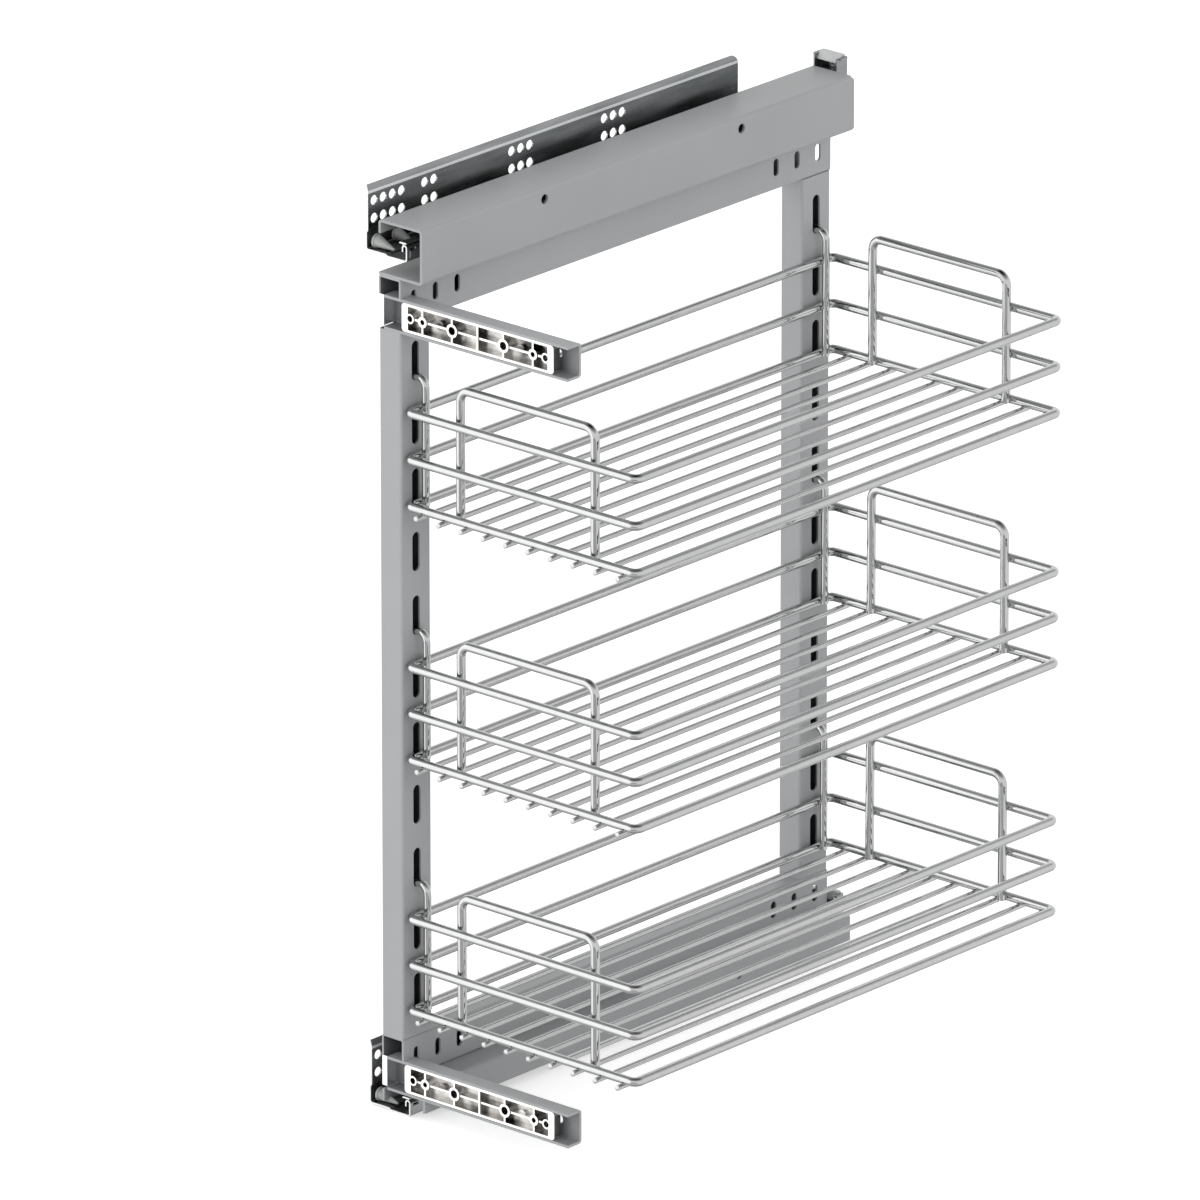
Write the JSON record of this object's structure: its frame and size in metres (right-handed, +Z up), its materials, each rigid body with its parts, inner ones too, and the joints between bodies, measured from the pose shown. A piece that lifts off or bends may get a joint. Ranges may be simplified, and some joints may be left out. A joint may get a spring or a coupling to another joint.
{
  "type": "pull-out wire basket",
  "caption": "Tall side-mounted pull-out frame for a narrow base cabinet: slotted posts, runners above and below, door brackets and hook-on chrome wire baskets.",
  "frame": {"origin": "on the cabinet side panel's inner face, in the frame's front plane, level with the lower runner's bottom", "axes": "+X away from the side panel across the cabinet, +Y from the cabinet's front to its back, +Z up"},
  "size_m": [0.2473, 0.4685, 0.6752],
  "materials": {
    "frame_paint": "fine-grained grey powder coat, satin",
    "runner_steel": "bright galvanised sheet",
    "carrier_steel": "grey powder coat, satin",
    "wire_chrome": "bright chrome plate",
    "adapter_metal": "die-cast zinc, bright nickel plated, fine sheen",
    "block_steel": "bright zinc plated",
    "guide_plastic": "mid grey, moulded",
    "clip_plastic": "light grey, moulded",
    "cage_plastic": "black, moulded",
    "roller_steel": "ground",
    "screw_steel": "zinc plated"
  },
  "bodies": {
    "cabinet_side": {"upper_cabinet_member": "runner_steel", "lower_cabinet_member": "runner_steel", "upper_guide_cones": "guide_plastic", "lower_guide_cones": "guide_plastic"},
    "pull_out": {"upper_drawer_member": "runner_steel", "lower_drawer_member": "runner_steel", "upper_rear_clip": "runner_steel", "lower_rear_clip": "runner_steel", "upper_clip_block": "clip_plastic", "lower_clip_block": "clip_plastic", "upper_clip_screw": "screw_steel", "lower_clip_screw": "screw_steel", "upper_carrier": "carrier_steel", "lower_carrier": "carrier_steel", "upper_rail": "frame_paint", "lower_rail": "frame_paint", "front_post": "frame_paint", "rear_post": "frame_paint", "upper_bracket_block": "block_steel", "lower_bracket_block": "block_steel", "upper_door_bracket": "frame_paint", "lower_door_bracket": "frame_paint", "upper_door_adapter": "adapter_metal", "lower_door_adapter": "adapter_metal", "upper_adapter_screws": "screw_steel", "lower_adapter_screws": "screw_steel"},
    "upper_middle_set": {"upper_middle_member": "runner_steel"},
    "upper_outer_cage_set": {"upper_outer_cage": "cage_plastic", "upper_outer_rollers": "roller_steel"},
    "upper_inner_cage_set": {"upper_inner_cage": "cage_plastic", "upper_inner_rollers": "roller_steel"},
    "lower_middle_set": {"lower_middle_member": "runner_steel"},
    "lower_outer_cage_set": {"lower_outer_cage": "cage_plastic", "lower_outer_rollers": "roller_steel"},
    "lower_inner_cage_set": {"lower_inner_cage": "cage_plastic", "lower_inner_rollers": "roller_steel"},
    "bottom_basket": {"bottom_basket_rails": "wire_chrome", "bottom_basket_floor": "wire_chrome", "bottom_basket_hooks": "wire_chrome", "bottom_basket_guards": "wire_chrome", "bottom_basket_guard_bends": "wire_chrome"},
    "middle_basket": {"middle_basket_rails": "wire_chrome", "middle_basket_floor": "wire_chrome", "middle_basket_hooks": "wire_chrome", "middle_basket_guards": "wire_chrome", "middle_basket_guard_bends": "wire_chrome"},
    "top_basket": {"top_basket_rails": "wire_chrome", "top_basket_floor": "wire_chrome", "top_basket_hooks": "wire_chrome", "top_basket_guards": "wire_chrome", "top_basket_guard_bends": "wire_chrome"}
  },
  "joints": [
    {"name": "pull_out_slide", "type": "slide", "parent": "cabinet_side", "child": "pull_out", "axis": [0, -1, 0], "range_m": [0, 0.4]},
    {"name": "upper_middle_slide", "type": "slide", "parent": "cabinet_side", "child": "upper_middle_set", "axis": [0, -1, 0], "range_m": [0, 0.2]},
    {"name": "upper_outer_cage_slide", "type": "slide", "parent": "cabinet_side", "child": "upper_outer_cage_set", "axis": [0, -1, 0], "range_m": [0, 0.1]},
    {"name": "upper_inner_cage_slide", "type": "slide", "parent": "cabinet_side", "child": "upper_inner_cage_set", "axis": [0, -1, 0], "range_m": [0, 0.3]},
    {"name": "lower_middle_slide", "type": "slide", "parent": "cabinet_side", "child": "lower_middle_set", "axis": [0, -1, 0], "range_m": [0, 0.2]},
    {"name": "lower_outer_cage_slide", "type": "slide", "parent": "cabinet_side", "child": "lower_outer_cage_set", "axis": [0, -1, 0], "range_m": [0, 0.1]},
    {"name": "lower_inner_cage_slide", "type": "slide", "parent": "cabinet_side", "child": "lower_inner_cage_set", "axis": [0, -1, 0], "range_m": [0, 0.3]},
    {"name": "bottom_basket_lift", "type": "slide", "parent": "pull_out", "child": "bottom_basket", "axis": [0, 0, 1], "range_m": [0, 0.02]},
    {"name": "middle_basket_lift", "type": "slide", "parent": "pull_out", "child": "middle_basket", "axis": [0, 0, 1], "range_m": [0, 0.02]},
    {"name": "top_basket_lift", "type": "slide", "parent": "pull_out", "child": "top_basket", "axis": [0, 0, 1], "range_m": [0, 0.02]}
  ],
  "couplings": [
    {"joint": "upper_middle_slide", "follows": "pull_out_slide", "ratio": 0.5},
    {"joint": "upper_outer_cage_slide", "follows": "pull_out_slide", "ratio": 0.25},
    {"joint": "upper_inner_cage_slide", "follows": "pull_out_slide", "ratio": 0.75},
    {"joint": "lower_middle_slide", "follows": "pull_out_slide", "ratio": 0.5},
    {"joint": "lower_outer_cage_slide", "follows": "pull_out_slide", "ratio": 0.25},
    {"joint": "lower_inner_cage_slide", "follows": "pull_out_slide", "ratio": 0.75}
  ]
}
